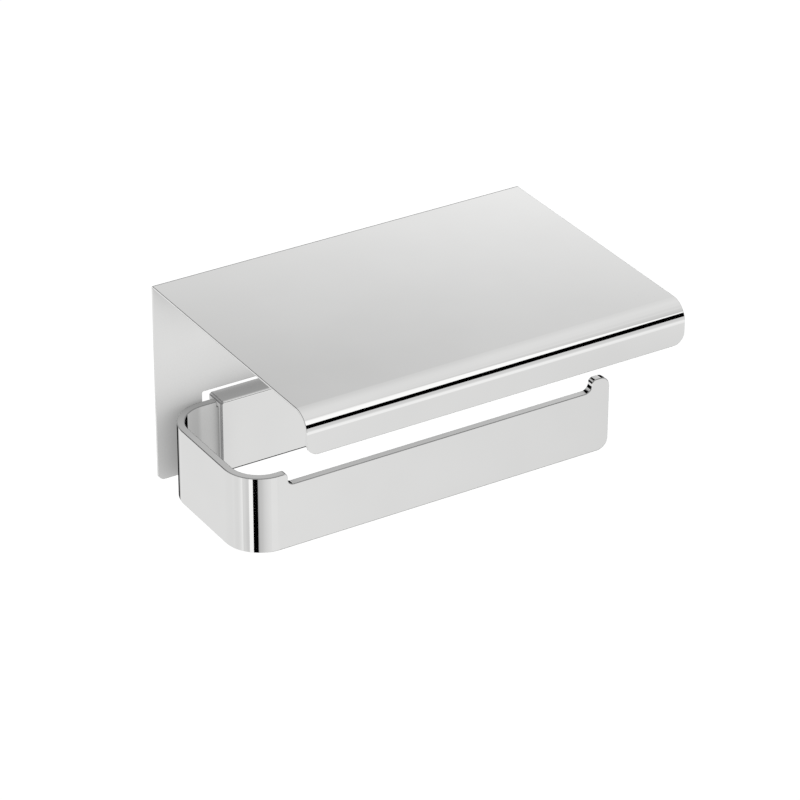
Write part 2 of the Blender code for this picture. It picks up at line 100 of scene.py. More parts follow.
# Clamp plate and wall bracket
CLAMP_CORNER = 2.5 * MM
PLATE_ROUND = 0.2 * MM
BRACKET_SHEET = 1.5 * MM
BRACKET_BEND = 2.0 * MM
BRACKET_HOLE = 2.25 * MM
BRACKET_ROUND = 0.2 * MM
SET_SCREW_SEAT = 2.0 * MM

# Screws: radii, lengths and threads
WOOD_HEAD = 2.5 * MM
WOOD_PLAIN = 5 * MM
WOOD_CORE = 1.45 * MM
WOOD_CREST = 1.95 * MM
WOOD_PITCH = 2.8 * MM
WOOD_TIP = 5.5 * MM
WOOD_POINT = 0.3 * MM
WOOD_RECESS = (2.2 * MM, 1.5 * MM)
CLAMP_HEAD = 1.5 * MM
CLAMP_SCREW_CREST = 1.5 * MM
CLAMP_SCREW_CORE = 1.25 * MM
CLAMP_SCREW_PITCH = 0.5 * MM
CLAMP_SCREW_RECESS = (1.5 * MM, 1.0 * MM)
SET_SCREW_CREST = 2.0 * MM
SET_SCREW_CORE = 1.72 * MM
SET_SCREW_PITCH = 0.7 * MM
SET_SCREW_CONE = 1.5 * MM
SET_SCREW_POINT = 0.6 * MM
SET_SCREW_KEY = 2.0 * MM
SET_SCREW_SOCKET = 2.4 * MM
HEAD_DOME = 0.55  # share of a head's height taken by its dome
HEAD_ROUND = 0.25 * MM
RECESS_TAPER = 0.6  # width of a cross recess at its floor, as a share of its mouth
WOOD_RIDGE = 0.4  # share of the pitch under a ridge of the wood screw's thread

# Plastic washers and plugs
WASHER_THICK = 1.0 * MM
WASHER_SHOULDER = 2.9 * MM
WASHER_ROUND = 0.35 * MM
SCREW_HOLE = 2.25 * MM
PLUG_CORE = 2.75 * MM
PLUG_MOUTH = 3 * MM
PLUG_RIBS = 5
PLUG_SLIT = 0.8 * MM
PLUG_SLIT_START = 7 * MM
COLUMNS = 40  # steps round a turned part

# Painted shade in gaps, near other parts and on upward faces under the shelf: how far it looks, and
# how dark it gets
NEAR_REACH = 30 * MM
NEAR_SHADE_DEPTH = 0.66
GAP_REACH = 12 * MM
GAP_SHADE_DEPTH = 0.2
COVER_REACH = 150 * MM
COVER_SHADE_DEPTH = 0.3

NOISE_LOW = 0.3  # nearly all values of a noise lie between these two
NOISE_HIGH = 0.7
MIRROR_GRAIN = 0.00001 * MM

# Surfaces: name, two tones, roughness range, metallic, scales of the tone, roughness and grain
# noises, and the grain's height
SURFACES = {
    "chrome": (
        "polished_chrome",
        ((0.695, 0.695, 0.69), (0.71, 0.71, 0.705)),
        (0.02, 0.035),
        1.0,
        (30, 60, 900),
        MIRROR_GRAIN,
    ),
    # darker copy of the chrome for rounded edges that face up: painted shade
    "edge": (
        "chrome_edge_painted_shade",
        ((0.28, 0.28, 0.28), (0.32, 0.32, 0.32)),
        (0.06, 0.1),
        1.0,
        (60, 90, 900),
        MIRROR_GRAIN,
    ),
    # dark copy of the chrome for the housing's left front edge beside the arm: painted shade
    "rim": (
        "housing_rim_painted_shade",
        ((0.3, 0.3, 0.3), (0.34, 0.34, 0.34)),
        (0.26, 0.34),
        1.0,
        (60, 90, 900),
        MIRROR_GRAIN,
    ),
    # darker copy of the chrome for the housing's left top edge and the notch's left crest: painted
    # shade
    "shoulder": (
        "housing_shoulder_painted_shade",
        ((0.58, 0.58, 0.58), (0.62, 0.62, 0.62)),
        (0.28, 0.34),
        1.0,
        (60, 90, 900),
        MIRROR_GRAIN,
    ),
    # darker copy of the chrome for the inner side of the arm's U: painted shade
    "inside": (
        "chrome_inside_painted_shade",
        ((0.555, 0.555, 0.55), (0.575, 0.575, 0.57)),
        (0.03, 0.05),
        1.0,
        (30, 60, 900),
        MIRROR_GRAIN,
    ),
    "cast": (
        "plated_casting",
        ((0.5, 0.5, 0.49), (0.6, 0.6, 0.59)),
        (0.3, 0.45),
        1.0,
        (180, 400, 1400),
        0.02 * MM,
    ),
    "zinc": (
        "zinc_plate",
        ((0.55, 0.565, 0.58), (0.63, 0.64, 0.645)),
        (0.24, 0.36),
        1.0,
        (350, 500, 2500),
        0.004 * MM,
    ),
    "steel": (
        "stainless_steel",
        ((0.5, 0.5, 0.5), (0.6, 0.6, 0.59)),
        (0.18, 0.3),
        1.0,
        (500, 700, 3000),
        0.002 * MM,
    ),
    "grey": (
        "grey_nylon",
        ((0.33, 0.34, 0.36), (0.38, 0.39, 0.41)),
        (0.42, 0.56),
        0.0,
        (250, 600, 1800),
        0.006 * MM,
    ),
    "white": (
        "white_nylon",
        ((0.76, 0.76, 0.73), (0.82, 0.82, 0.79)),
        (0.38, 0.5),
        0.0,
        (250, 600, 1800),
        0.005 * MM,
    ),
}

# Camera and floor
CAMERA_PLACE = (-0.70107, -1.19093, 0.7342)
CAMERA_AZIMUTH = -31.518
CAMERA_ELEVATION = 29.621
CAMERA_ROLL = 0.207
CAMERA_LENS = 174.22
FLOOR_DROP = 3.0
FLOOR_SIZE = 40

# Studio: a white room, and lamps and flags that only reflections see
STUDIO_RADIUS = 3.0
SKY_RADIUS = 60.0

PLAIN_LEVEL = 1.04  # the room's brightness outside reflections
BRIGHTEST = 2.0  # top of the range that ROOM_LEVELS can use

# Brightness of the room by elevation in degrees, as a mirror at the holder sees it
ROOM_LEVELS = (
    (-90, 1.08),
    (-28.6, 1.08),
    (-27.6, 1.27),
    (-16, 1.25),
    (-12, 1.07),
    (-8, 0.94),
    (-4, 0.9),
    (3, 0.9),
    (20, 1.1),
    (26.4, 1.12),
    (27, 1.04),
    (28, 0.926),
    (29, 0.82),
    (29.8, 0.76),
    (31, 0.8),
    (33, 0.86),
    (38, 0.9),
    (50, 0.97),
    (60, 1.0),
)

# Softer regions: heading and elevation of the middle, inner and outer angle, level in and out
ROOM_REGIONS = (
    (100, -30, 28, 45, 0.78, 1.0),
    (60, 28, 22, 30, 1.02, 0.97),
    (-36, -32, 22, 40, 0.93, 1.0),
    (154.5, -28.3, 2.2, 4.2, 0.955, 1.0),
    (-45, 25, 7, 13, 0.8, 1.0),
    (-135, -20, 9, 15, 0.78, 1.0),
    (133, 15, 7, 12, 0.86, 1.0),
    (46, -16, 6, 11, 0.76, 1.0),
)

# Sky over the shelf: degrees above +Y when turned about X, level at the middle, rise to the right
SKY = (
    (26, 1.2, 2.8),
    (28, 1.12, 2.8),
    (30.85, 0.956, 2.8),
    (31.4, 0.9, 2.8),
    (31.9, 0.855, 2.8),
    (32.45, 0.805, 2.8),
    (33.0, 0.762, 2.7),
    (33.5, 0.775, 1.9),
    (36, 0.82, 1.6),
    (43.5, 0.865, 1.3),
    (53.5, 0.885, 1.2),
    (63.5, 0.925, 1.0),
    (73.5, 0.955, 0.9),
    (83.5, 0.99, 0.5),
    (93.5, 1.01, 0.0),
    (103.5, 1.01, 0.0),
    (113.5, 1.02, -0.8),
    (120, 1.0, -0.5),
    (126, 1.0, 0.0),
)
SKY_SIDES = (0.34, 0.60, 13)  # the sky's reach to the right, as a share of the way, and its steps
SKY_MIDDLE = 0.43

# Lamp over the front bend: levels by elevation
FRONT_HEADINGS = (144.5, 260)
FRONT_LAMP = ((4.1, 0), (21.5, 0), (21.5, 1.38), (37, 1.38), (44, 1.0))

# Wall of light at the left: levels by heading
LEFT_ELEVATIONS = (-50, -29.4)
LEFT_WALL = (
    (-70, 1.0),
    (-78, 0.96),
    (-86, 0.95),
    (-93, 1.01),
    (-98, 1.1),
    (-102, 1.15),
    (-107, 1.15),
    (-112, 1.07),
    (-116, 1.03),
    (-120, 1.1),
    (-120, 1.6),
    (-131, 1.6),
    (-131, 0),
    (-145, 0),
    (-145, 0.55),
    (-150, 0.72),
    (-156, 0.77),
    (-162, 0.86),
    (-170, 0.94),
    (-178, 1.0),
    (-182, 1.0),
)

# Shade at the rear: levels by heading
REAR_ELEVATIONS = (-42, -28.6)
REAR_SHADE = ((-14, 1.0), (-7, 0.7), (-2, 0.2), (2, 0), (76, 0))

# Dark flags: headings, elevations, level
FLAGS = (
    ("right flag", (36, 50), (-10, 23), 0),
    ("low right flag", (32, 41), (-28.6, -10), 0),
    ("rear flag", (18, 34), (-24, 20), 0),
    ("rear left flag", (-47, -33), (-18, 17), 0),
    ("rear top flag", (-28, 25), (41, 47), 0),
    ("rear grey flag", (-28, 14), (33, 41), 0.4),
    ("foot flag", (30, 150), (-80, -38), 0),
)


# ---------------------------------------------------------------- outlines


def arc(centre, radius, start, end, steps):
    """Points of a circle from start to end degrees, both included."""
    turns = [math.radians(start + (end - start) * i / steps) for i in range(steps + 1)]
    return [(centre[0] + radius * math.cos(t), centre[1] + radius * math.sin(t)) for t in turns]


def circle(centre, radius, steps=48):
    return arc(centre, radius, 0, 360 - 360 / steps, steps - 1)


def rectangle(low, high):
    return [low, (high[0], low[1]), high, (low[0], high[1])]


def rounded_rectangle(low, high, radius, steps=10):
    corners = (
        (high[0] - radius, high[1] - radius, 0),
        (low[0] + radius, high[1] - radius, 90),
        (low[0] + radius, low[1] + radius, 180),
        (high[0] - radius, low[1] + radius, 270),
    )
    return [p for x, y, turn in corners for p in arc((x, y), radius, turn, turn + 90, steps)]


def corner_waste(corner, radius, side, up, steps=16):
    """What a round corner takes off a square one; side and up are +1 or -1."""
    centre = (corner[0] - side * radius, corner[1] - up * radius)
    start, end = 90 * up, 90 - 90 * side
    outline = arc(centre, radius, start, end if abs(start - end) <= 90 else end - 360, steps)
    outline.append((corner[0] + side * PAST, corner[1] - up * radius))
    outline.append((corner[0] + side * PAST, corner[1] + up * PAST))
    outline.append((corner[0] - side * radius, corner[1] + up * PAST))
    return outline


# ---------------------------------------------------------------- solids


def new_object(name, built):
    bmesh.ops.recalc_face_normals(built, faces=built.faces)
    mesh = bpy.data.meshes.new(name)
    built.to_mesh(mesh)
    built.free()
    obj = bpy.data.objects.new(name, mesh)
    bpy.context.scene.collection.objects.link(obj)
    return obj


def prism(name, outline, axis, start, end):
    """Extrude an outline along axis. It is drawn in (y, z) for X, (x, z) for Y and (x, y) for Z."""
    place = {
        "X": lambda u, v, w: (w, u, v),
        "Y": lambda u, v, w: (u, w, v),
        "Z": lambda u, v, w: (u, v, w),
    }[axis]
    built = bmesh.new()
    face = built.faces.new([built.verts.new(place(u, v, start)) for u, v in outline])
    grown = bmesh.ops.extrude_face_region(built, geom=[face])
    far = [item for item in grown["geom"] if isinstance(item, bmesh.types.BMVert)]
    bmesh.ops.translate(built, verts=far, vec=Vector(place(0, 0, end - start)))
    return new_object(name, built)


def carve(target, tools, operation="DIFFERENCE"):
    """Cut the tools out of target, or add them to it, and leave one plain mesh."""
    for tool in tools:
        modifier = target.modifiers.new(tool.name, "BOOLEAN")
        modifier.operation = operation
        modifier.solver = "EXACT"
        modifier.object = tool
    bake(target)
    for tool in tools:
        bpy.data.objects.remove(tool)
    return target


def bake(obj):
    """Turn the modified shape into the object's own mesh."""
    graph = bpy.context.evaluated_depsgraph_get()
    mesh = bpy.data.meshes.new_from_object(obj.evaluated_get(graph))
    obj.modifiers.clear()
    obj.data = mesh


def round_edges(obj, width, segments=3, edge=None):
    """Round the sharp edges, and shade bends smoothly while flat faces stay flat.

    With an edge material, a darker copy of the chrome, the rounded edges that face up take it as
    painted shade.
    """
    bevel = obj.modifiers.new("rounded edges", "BEVEL")
    if edge:
        obj.data.materials.append(edge)
        obj.data.materials.append(edge)
        bevel.material = 1
    bevel.width = width
    bevel.segments = segments
    bevel.limit_method = "ANGLE"
    bevel.angle_limit = SHARP
    bevel.miter_outer = "MITER_ARC"
    bake(obj)
    # only the rounded edges that face up keep the painted shade
    if edge:
        for face in obj.data.polygons:
            if face.normal.z < EDGE_LEAN:
                face.material_index = 0
    obj.data.shade_smooth()
    normals = obj.modifiers.new("flat faces stay flat", "WEIGHTED_NORMAL")
    normals.weight = 100
    normals.keep_sharp = False


def lathe(name, rows, hollow=False):
    """Join rings of (radius, depth) round +Y. A radius may depend on the turn, which runs from 0 to 1.

    A solid body has its first and last ring filled; a hollow one joins its last ring to its first.
    """
    built = bmesh.new()
    rings = []
    for radius, depth in rows:
        ring = []
        for i in range(COLUMNS):
            turn = i / COLUMNS
            reach = radius(turn) if callable(radius) else radius
            spot = (reach * math.cos(math.tau * turn), depth, reach * math.sin(math.tau * turn))
            ring.append(built.verts.new(spot))
        rings.append(ring)
    if hollow:
        rings.append(rings[0])
    else:
        built.faces.new(rings[0])
        built.faces.new(rings[-1])
    for one, two in zip(rings, rings[1:]):
        for a, b, c, d in zip(one, one[1:] + one[:1], two[1:] + two[:1], two):
            built.faces.new((a, b, c, d))
    return new_object(name, built)


def shade(obj):
    """Shade curves smoothly and keep the sharp edges."""
    obj.data.shade_smooth()
    obj.data.set_sharp_from_angle(angle=SHARP)


def middle_of(node):
    """Where the axis of a node that runs into the wall stands on the wall, as (x, z)."""
    low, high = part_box(node)
    return ((low.x + high.x) / 2, (low.z + high.z) / 2)


def stand_at(obj, node, depth, turn=None):
    """Put a piece made round +Y on its node's axis, turned first if turn is (degrees, axis)."""
    x, z = middle_of(node)
    place = Matrix.Translation((x, depth, z))
    if turn:
        place = place @ Matrix.Rotation(math.radians(turn[0]), 4, turn[1])
    obj.matrix_world = place


def finish_piece(obj, node, slot, *materials):
    """Put the materials on, and let the piece stand for its CAD node."""
    for index, material in enumerate(materials):
        if index < len(obj.data.materials):
            obj.data.materials[index] = material
        else:
            obj.data.materials.append(material)
    obj.visible_glossy = False
    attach(obj, "root")
    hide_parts(node)


# ---------------------------------------------------------------- materials


def new_material(name):
    material = bpy.data.materials.new(name)
    material.use_nodes = True
    return material, material.node_tree.nodes, material.node_tree.links


def noise(nodes, links, coordinates, scale, detail=2.0):
    texture = nodes.new("ShaderNodeTexNoise")
    texture.inputs["Scale"].default_value = scale
    texture.inputs["Detail"].default_value = detail
    links.new(coordinates.outputs["Object"], texture.inputs["Vector"])
    return texture.outputs["Fac"]


def spread(nodes, links, source, low, high):
    """Stretch the middle of a noise to the range from low to high."""
    ranged = nodes.new("ShaderNodeMapRange")
    ranged.inputs["From Min"].default_value = NOISE_LOW
    ranged.inputs["From Max"].default_value = NOISE_HIGH
    ranged.inputs["To Min"].default_value = low
    ranged.inputs["To Max"].default_value = high
    links.new(source, ranged.inputs["Value"])
    return ranged.outputs["Result"]


def two_tones(nodes, links, source, first, second):
    ramp = nodes.new("ShaderNodeValToRGB")
    ramp.color_ramp.elements[0].position = NOISE_LOW
    ramp.color_ramp.elements[0].color = (*first, 1)
    ramp.color_ramp.elements[1].position = NOISE_HIGH
    ramp.color_ramp.elements[1].color = (*second, 1)
    links.new(source, ramp.inputs["Fac"])
    return ramp.outputs["Color"]


def times(nodes, links, first, second):
    product = nodes.new("ShaderNodeMath")
    product.operation = "MULTIPLY"
    for value, socket in zip((first, second), product.inputs):
        if isinstance(value, float):
            socket.default_value = value
        else:
            links.new(value, socket)
    return product.outputs["Value"]


def openness(nodes, reach):
    """Share of the space within reach that is open, from 0 to 1."""
    around = nodes.new("ShaderNodeAmbientOcclusion")
    around.samples = 8
    around.inputs["Distance"].default_value = reach
    return around.outputs["AO"]


def shade_share(nodes, links, open_share, depth):
    share = nodes.new("ShaderNodeMapRange")
    share.inputs["To Min"].default_value = 1 - depth
    links.new(open_share, share.inputs["Value"])
    return share.outputs["Result"]


def painted_crevice_shade(nodes, links, colour):
    """Paint shade into a colour: darker in narrow gaps, near other parts, and on upward faces below
    the shelf.
    """
    near = shade_share(nodes, links, openness(nodes, NEAR_REACH), NEAR_SHADE_DEPTH)
    gap = shade_share(nodes, links, openness(nodes, GAP_REACH), GAP_SHADE_DEPTH)
    cover = shade_share(nodes, links, openness(nodes, COVER_REACH), COVER_SHADE_DEPTH)
    geometry = nodes.new("ShaderNodeNewGeometry")
    split = nodes.new("ShaderNodeSeparateXYZ")
    links.new(geometry.outputs["Normal"], split.inputs["Vector"])
    upward = nodes.new("ShaderNodeMix")
    upward.inputs["A"].default_value = 1
    upward.clamp_factor = True
    links.new(split.outputs["Z"], upward.inputs["Factor"])
    links.new(cover, upward.inputs["B"])
    share = times(nodes, links, times(nodes, links, near, gap), upward.outputs["Result"])
    darker = nodes.new("ShaderNodeVectorMath")
    darker.operation = "SCALE"
    links.new(colour, darker.inputs[0])
    links.new(share, darker.inputs["Scale"])
    return darker.outputs["Vector"]


def surface(name, tones, roughness, metallic, scales, grain_height):
    """A Principled surface whose colour, roughness and fine relief each follow a noise; painted shade
    darkens its colour in gaps and near other parts.
    """
    material, nodes, links = new_material(name)
    tone_scale, rough_scale, grain_scale = scales
    shader = nodes["Principled BSDF"]
    coordinates = nodes.new("ShaderNodeTexCoord")
    shader.inputs["Metallic"].default_value = metallic
    colour = two_tones(nodes, links, noise(nodes, links, coordinates, tone_scale), *tones)
    # the base colour carries painted shade from the occlusion nodes
    links.new(painted_crevice_shade(nodes, links, colour), shader.inputs["Base Color"])
    rough = spread(nodes, links, noise(nodes, links, coordinates, rough_scale, 4.0), *roughness)
    links.new(rough, shader.inputs["Roughness"])
    bump = nodes.new("ShaderNodeBump")
    bump.inputs["Strength"].default_value = 1.0
    bump.inputs["Distance"].default_value = grain_height
    links.new(noise(nodes, links, coordinates, grain_scale, 3.0), bump.inputs["Height"])
    links.new(bump.outputs["Normal"], shader.inputs["Normal"])
    return material


def pick(materials, *names):
    return [materials[name] for name in names]


# ---------------------------------------------------------------- shelf panel


def shelf_section(low, high):
    """Section of the sheet in (y, z): up the wall side, forward over the top, down the lip."""
    wall, front, top, foot = high.y, low.y, high.z, low.z
    front_centre = (front + FRONT_BEND, top - FRONT_BEND)
    rear_centre = (wall - REAR_BEND, top - REAR_BEND)
    outline = [(wall, foot)]
    outline += arc(rear_centre, REAR_BEND, 0, 90, 12)
    outline += arc(front_centre, FRONT_BEND, 90, 180, 48)
    outline.append((front, top - LIP_HEIGHT))
    outline.append((front + SHEET, top - LIP_HEIGHT))
    outline += arc(front_centre, FRONT_BEND - SHEET, 180, 90, 48)
    outline += arc(rear_centre, REAR_BEND - SHEET, 90, 0, 12)
    outline.append((wall - SHEET, foot))
    return outline


def shelf_openings(low, high):
    """Cutters for the cutout round the housing, the round corners and the screw holes."""
    housing_low, housing_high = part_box("mount_housing")
    wall = (high.y - SHEET - PAST, high.y + PAST)
    lip = (low.y - PAST, low.y + SHEET + PAST)
    opening_low = (housing_low.x - CUTOUT_SIDE, low.z - 2 * PAST)
    opening_high = (housing_high.x + CUTOUT_SIDE, housing_high.z + CUTOUT_ABOVE)
    opening = rounded_rectangle(opening_low, opening_high, CUTOUT_CORNER, 6)
    tools = [prism("opening", opening, "Y", *wall)]
    for side, x in ((-1, low.x), (1, high.x)):
        lip_corner = corner_waste((x, high.z - LIP_HEIGHT), LIP_CORNER, side, -1)
        tools.append(prism("lip corner", lip_corner, "Y", *lip))
        foot_corner = corner_waste((x, low.z), BACK_CORNER, side, -1)
        tools.append(prism("foot corner", foot_corner, "Y", *wall))
    for name in ("left", "right"):
        hole = circle(middle_of(f"shelf_screw_{name}"), SHELF_HOLE)
        tools.append(prism("screw hole", hole, "Y", *wall))
    return tools


def make_shelf_panel(materials):
    low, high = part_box("shelf_panel")
    panel = prism("shelf_sheet", shelf_section(low, high), "X", low.x, high.x)
    carve(panel, shelf_openings(low, high))
    # the edge material paints shade on the rounded edges that face up
    round_edges(panel, SHEET_ROUND, edge=materials["edge"])
    finish_piece(panel, "shelf_panel", "chrome_sheet", *pick(materials, "chrome", "edge"))
    # the rear bend against the wall takes the edge material too: painted shade
    for face in panel.data.polygons:
        if face.center.y > high.y - REAR_BEND and face.center.z > high.z - REAR_BEND:
            face.material_index = 1


# ---------------------------------------------------------------- roll arm


def arm_plan(low, high, tongue_end):
    """The bar from above in (x, y): rear tongue, left side, front bar and back again."""
    rear_centre = (low.x + ARM_REAR_BEND, high.y - ARM_REAR_BEND)
    front_centre = (low.x + ARM_FRONT_BEND, low.y + ARM_FRONT_BEND)
    outline = [(tongue_end, high.y)]
    outline += arc(rear_centre, ARM_REAR_BEND, 90, 180, 48)
    outline += arc(front_centre, ARM_FRONT_BEND, 180, 270, 48)
    outline.append((high.x, low.y))
    outline.append((high.x, low.y + ARM_THICK))
    outline += arc(front_centre, ARM_FRONT_BEND - ARM_THICK, 270, 180, 48)
    outline += arc(rear_centre, ARM_REAR_BEND - ARM_THICK, 180, 90, 48)
    outline.append((tongue_end, high.y - ARM_THICK))
    return outline


def notch(low, high):
    """The rest for the roll in (x, z), cut from the top of the front bar."""
    floor = high.z - NOTCH_DEPTH
    left, right = low.x + NOTCH_START, high.x - NOTCH_END
    outline = [(left - NOTCH_CRESTS[0], high.z + PAST)]
    outline += arc((left - NOTCH_CRESTS[0], high.z - NOTCH_CRESTS[0]), NOTCH_CRESTS[0], 90, 0, 12)
    outline += arc((left + NOTCH_ROOTS[0], floor + NOTCH_ROOTS[0]), NOTCH_ROOTS[0], 180, 270, 12)
    outline += arc((right - NOTCH_ROOTS[1], floor + NOTCH_ROOTS[1]), NOTCH_ROOTS[1], 270, 360, 16)
    outline += arc((right + NOTCH_CRESTS[1], high.z - NOTCH_CRESTS[1]), NOTCH_CRESTS[1], 180, 90, 12)
    outline.append((right + NOTCH_CRESTS[1], high.z + PAST))
    return outline


def arm_cutters(low, high, shoulder, tongue_end, middle):
    """Cutters for the notch, the free end's corners, the tongue and its two holes."""
    bar = (low.y - PAST, low.y + ARM_THICK + PAST)
    leg = (high.y - ARM_THICK - PAST, high.y + PAST)
    past_end = tongue_end + PAST
    above = rectangle((shoulder, middle + TONGUE_HEIGHT / 2), (past_end, high.z + PAST))
    below = rectangle((shoulder, low.z - PAST), (past_end, middle - TONGUE_HEIGHT / 2))
    tools = [
        prism("notch", notch(low, high), "Y", *bar),
        prism("upper corner", corner_waste((high.x, high.z), ARM_END_TOP, 1, 1), "Y", *bar),
        prism("lower corner", corner_waste((high.x, low.z), ARM_END_BOTTOM, 1, -1), "Y", *bar),
        prism("above tongue", above, "Y", *leg),
        prism("below tongue", below, "Y", *leg),
    ]
    for name in ("left", "right"):
        hole = circle(middle_of(f"arm_screw_{name}"), BOSS_HOLE)
        tools.append(prism("boss hole", hole, "Y", *leg))
    return tools


def set_arm_faces(arm, low, high):
    """Give the inner side of the U and the notch's left crest darker copies of the chrome: painted
    shade.
    """
    reach = ARM_THICK - ARM_ROUND / 2
    notch_start = low.x + NOTCH_START
    crest = NOTCH_CRESTS[0]
    for face in arm.data.polygons:
        x, y, z = face.center
        inside = low.y + reach < y < high.y - reach and x > low.x + reach
        crest_painted_shade_mask = notch_start - crest < x < notch_start and z > high.z - crest
        if inside and abs(face.normal.z) < EDGE_LEAN:
            face.material_index = 2
        elif crest_painted_shade_mask and y < low.y + ARM_THICK:
            face.material_index = 3


def make_roll_arm(materials):
    low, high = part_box("roll_arm")
    housing_low, housing_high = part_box("mount_housing")
    middle = (housing_low.z + housing_high.z) / 2
    tongue_end = housing_low.x + TONGUE_LENGTH
    arm = prism("roll_arm_bar", arm_plan(low, high, tongue_end), "Z", low.z, high.z)
    carve(arm, arm_cutters(low, high, housing_low.x - TONGUE_GAP, tongue_end, middle))
    # the edge, inside and shoulder looks are darker copies of the chrome: painted shade
    round_edges(arm, ARM_ROUND, edge=materials["edge"])
    looks = pick(materials, "chrome", "edge", "inside", "shoulder")
    finish_piece(arm, "roll_arm", "chrome_bar", *looks)
    set_arm_faces(arm, low, high)


# ---------------------------------------------------------------- housing


def housing_shell(low, high):
    """A closed block with rounded sides and a rounded front rim."""
    built = bmesh.new()
    place = Matrix.Translation((low + high) / 2) @ Matrix.Diagonal(high - low).to_4x4()
    bmesh.ops.create_cube(built, size=1, matrix=place)
    corners = [e for e in built.edges if abs(e.verts[0].co.y - e.verts[1].co.y) > MM]
    bmesh.ops.bevel(
        built, geom=corners, offset=HOUSING_CORNER, segments=12, profile=0.5, affect="EDGES"
    )
    middle = (low.y + high.y) / 2
    rim = [e for e in built.edges if all(v.co.y < middle for v in e.verts)]
    bmesh.ops.bevel(
        built, geom=rim, offset=HOUSING_ROUND, segments=8, profile=0.5, affect="EDGES"
    )
    return new_object("housing_shell", built)


def hollow_out(housing, low, high):
    """Cut the cavity and the slot for the arm's tongue."""
    middle = (low.z + high.z) / 2
    front = low.y + HOUSING_WALL
    inside_low = (low.x + HOUSING_WALL, low.z + HOUSING_WALL)
    inside_high = (high.x - HOUSING_WALL, high.z - HOUSING_WALL)
    half = TONGUE_HEIGHT / 2 + TONGUE_GAP
    slot = rectangle((low.x - PAST, middle - half), (inside_low[0] + PAST, middle + half))
    cavity = rounded_rectangle(inside_low, inside_high, CAVITY_CORNER)
    cutters = [prism("cavity", cavity, "Y", front, PAST), prism("slot", slot, "Y", front, PAST)]
    carve(housing, cutters)


def add_bosses(housing, low):
    """Add the set screw's block and the two clamp bosses, and drill them."""
    front = low.y + HOUSING_WALL
    floor = low.z + HOUSING_WALL
    screw = middle_of("set_screw")[0]
    block_low = (screw - BLOCK[0] / 2, floor - PAST)
    block = rectangle(block_low, (screw + BLOCK[0] / 2, floor + BLOCK[1]))
    places = [middle_of("arm_screw_left"), middle_of("arm_screw_right")]
    added = [prism("set screw block", block, "Y", front - PAST, -BLOCK[2])]
    added += [
        prism("boss", circle(place, BOSS_RADIUS), "Y", front - PAST, -BOSS_DEPTH)
        for place in places
    ]
    carve(housing, added, "UNION")
    set_low, set_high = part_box("set_screw")
    radius = (set_high.x - set_low.x) / 2 + TONGUE_GAP
    bore = circle((screw, (set_low.y + set_high.y) / 2), radius)
    cuts = [prism("boss bore", circle(place, BOSS_BORE), "Y", front - PAST, 0) for place in places]
    cuts.append(prism("set screw bore", bore, "Z", low.z - PAST, floor + BLOCK[1] + PAST))
    carve(housing, cuts)


def set_housing_faces(housing, low, high):
    """Give the cavity its cast finish, and the left side's front edge and its top edge darker copies
    of the chrome as painted shade.
    """
    front = low.y + HOUSING_WALL
    for face in housing.data.polygons:
        x, y, z = face.center
        normal = face.normal
        across = low.x + CAVITY_INSET < x < high.x - CAVITY_INSET
        upright = low.z + CAVITY_INSET < z < high.z - CAVITY_INSET
        if across and upright and y > front - 0.1 * MM:
            face.material_index = 1
        elif x < low.x + HOUSING_CORNER and normal.x < -EDGE_LEAN:
            if normal.y < -SIDE_LEAN:
                face.material_index = 2
            elif normal.z > SIDE_LEAN:
                face.material_index = 3


def make_mount_housing(materials):
    low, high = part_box("mount_housing")
    housing = housing_shell(low, high)
    hollow_out(housing, low, high)
    add_bosses(housing, low)
    round_edges(housing, HOUSING_EDGE, 2)
    # the rim and shoulder looks are darker copies of the chrome: painted shade; the cast look is the
    # cavity's own finish
    looks = pick(materials, "chrome", "cast", "rim", "shoulder")
    finish_piece(housing, "mount_housing", "chrome_housing", *looks)
    set_housing_faces(housing, low, high)


# ---------------------------------------------------------------- fixings


def thread_rows(start, end, core, crest, pitch, ridge, tip=0.0, point=0.0, steps=10):
    """Rings of a screw thread: a ridge that climbs round the core and narrows to a point over the tip.

    ridge is the share of the pitch that the foot of the ridge covers.
    """
    count = round((end - start) / pitch * steps)
    rows = []
    for k in range(count + 1):
        depth = start + (end - start) * k / count
        run_in = min(1, (depth - start) / pitch)
        run_out = min(1, (end - depth) / (tip or pitch))
        narrow = point / core + (1 - point / core) * run_out if tip else 1
        rise = (crest - core) * min(run_in, run_out)

        def radius(turn, depth=depth, narrow=narrow, rise=rise):
            across = abs((depth / pitch - turn) % 1 - 0.5) * 2
            return narrow * core + rise * max(0, 1 - across / ridge)

        rows.append((radius, depth))
    return rows


def head_rows(radius, height):
    """Rings of a domed head, from its crown to its underside."""
    dome = height * HEAD_DOME
    rows = []
    for i in range(1, 17):
        turn = math.radians(90 * i / 16)
        rows.append((radius * math.sin(turn), dome * (1 - math.cos(turn))))
    for i in range(5):
        turn = math.radians(90 * i / 4)
        inward = HEAD_ROUND * (1 - math.cos(turn))
        rows.append((radius - inward, height - HEAD_ROUND * (1 - math.sin(turn))))
    return rows


def cross_recess(name, size, depth):
    """A cross-shaped cutter that narrows as it goes in along +Y."""
    half = size / 5
    quarter = [(half, half), (half, size), (-half, size)]
    outline = []
    for _ in range(4):
        outline += quarter
        quarter = [(-v, u) for u, v in quarter]
    cutter = prism(name, outline, "Y", -PAST, depth)
    for vertex in cutter.data.vertices:
        if vertex.co.y > 0:
            vertex.co.x *= RECESS_TAPER
            vertex.co.z *= RECESS_TAPER
    return cutter


